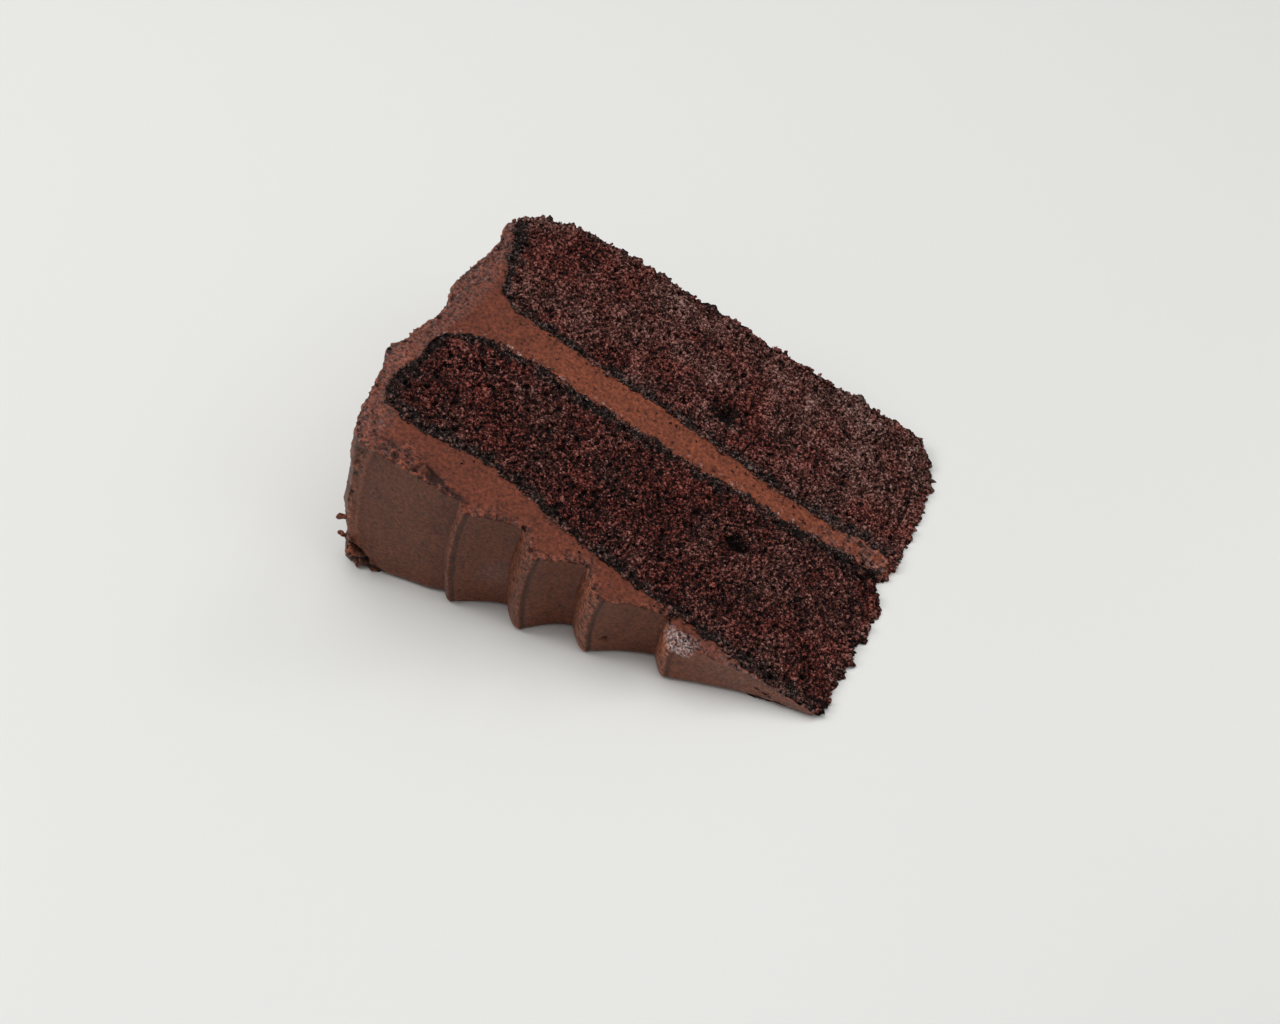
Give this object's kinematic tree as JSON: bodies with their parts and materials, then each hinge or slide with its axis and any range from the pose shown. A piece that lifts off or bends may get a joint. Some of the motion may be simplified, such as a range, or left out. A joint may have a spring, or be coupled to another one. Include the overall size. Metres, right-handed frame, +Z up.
{
  "type": "slice of chocolate cake",
  "caption": "Wedge of layered chocolate cake lying on its cut side: dark sponge, chocolate filling and a swirled frosting coat, for a plate or a table.",
  "frame": {"origin": "bottom centre of the box around the slice, on the surface that it lies on", "axes": "+X from the frosted rim towards the tip, -Y out of the swirled top of the cake, +Z up; the slice lies on its lower cut face"},
  "size_m": [0.1294, 0.0972, 0.0491],
  "materials": {
    "sponge": "open crumb, dull",
    "filling": "knife-cut, soft satin",
    "frosting": "smoothed, soft satin"
  },
  "bodies": {
    "root": {"sponge_bottom": "sponge", "filling": "filling", "sponge_top": "sponge", "frosting": "frosting"}
  },
  "joints": []
}
